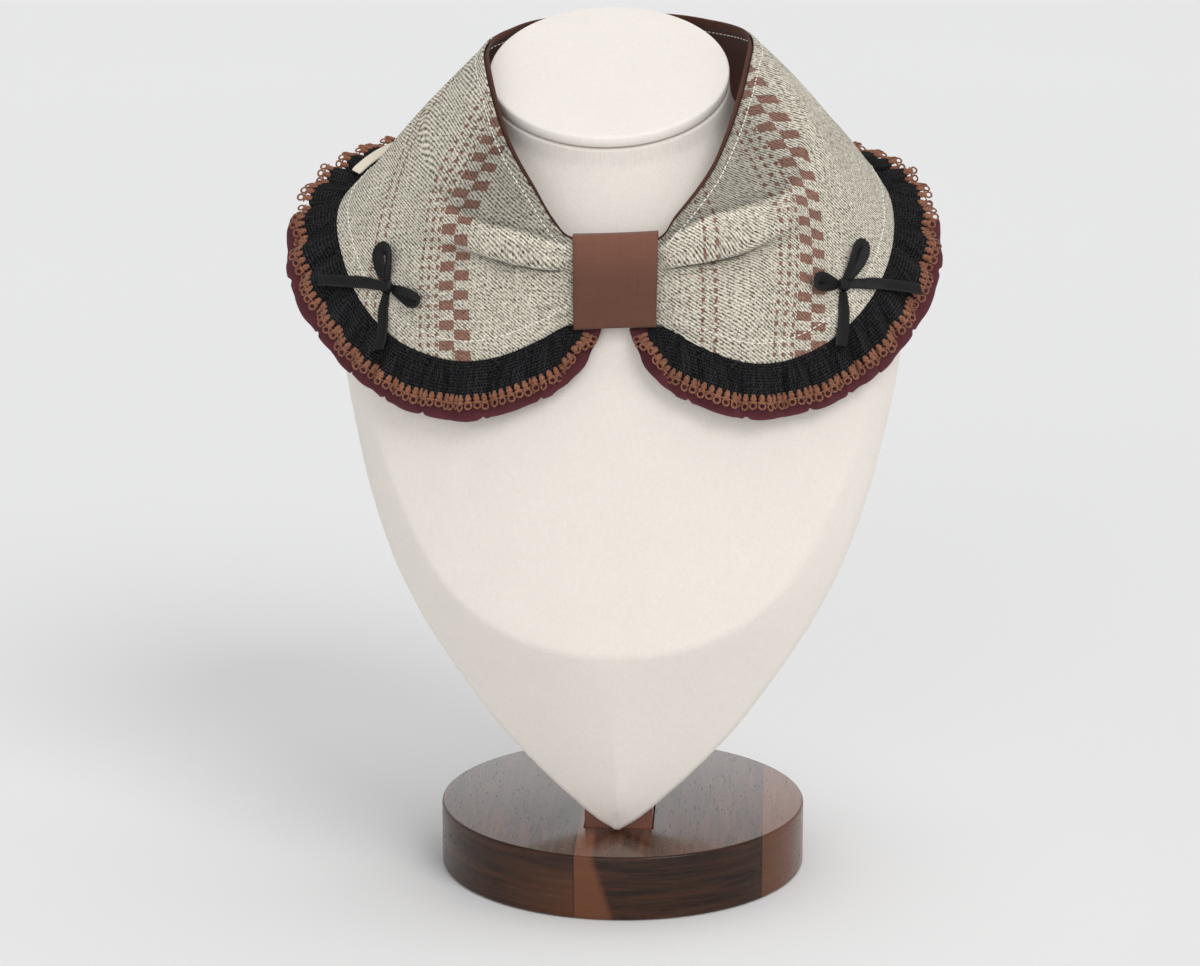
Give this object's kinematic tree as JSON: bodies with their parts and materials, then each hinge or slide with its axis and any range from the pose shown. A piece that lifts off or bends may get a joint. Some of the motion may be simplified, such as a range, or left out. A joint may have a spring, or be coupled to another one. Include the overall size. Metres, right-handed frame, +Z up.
{
  "type": "lace trimmed woven collar on a limbless display bust with a round base",
  "caption": "Deep woven collar gathered into a centre band, edged with gathered lace and looped trim, with tied ribbon bows, shown on a pointed display bust that stands on a round wooden base.",
  "frame": {"origin": "middle of the round base's underside", "axes": "+Z up, -Y towards the wearer's front, +X to the right of someone facing that front"},
  "size_m": [0.288, 0.2231, 0.3831],
  "materials": {
    "woven_cloth": "matt, loosely woven in grey beige threads with rows of brown checks",
    "lining": "matt plain weave",
    "brown_band": "matt plain weave",
    "black_lace": "matt fine net",
    "brown_edging": "matt looped thread",
    "burgundy_frill": "matt",
    "black_ribbon": "satin",
    "label": "matt",
    "bust_cover": "matt, short brushed pile",
    "walnut": "semi-gloss varnish"
  },
  "bodies": {
    "root": {"cloth_left": "woven_cloth", "cloth_right": "woven_cloth", "lining_left": "lining", "lining_right": "lining", "centre_band": "brown_band", "lace_left": "black_lace", "lace_right": "black_lace", "edging_left": "brown_edging", "edging_right": "brown_edging", "frill_left": "burgundy_frill", "frill_right": "burgundy_frill", "bow_left_knot": "black_ribbon", "bow_left_loop_up": "black_ribbon", "bow_left_loop_side": "black_ribbon", "bow_left_tail_side": "black_ribbon", "bow_left_tail_down": "black_ribbon", "bow_right_knot": "black_ribbon", "bow_right_loop_up": "black_ribbon", "bow_right_loop_side": "black_ribbon", "bow_right_tail_side": "black_ribbon", "bow_right_tail_down": "black_ribbon", "side_label": "label", "bust": "bust_cover", "neck_cap": "bust_cover", "post": "walnut", "base_disc": "walnut"}
  },
  "joints": []
}
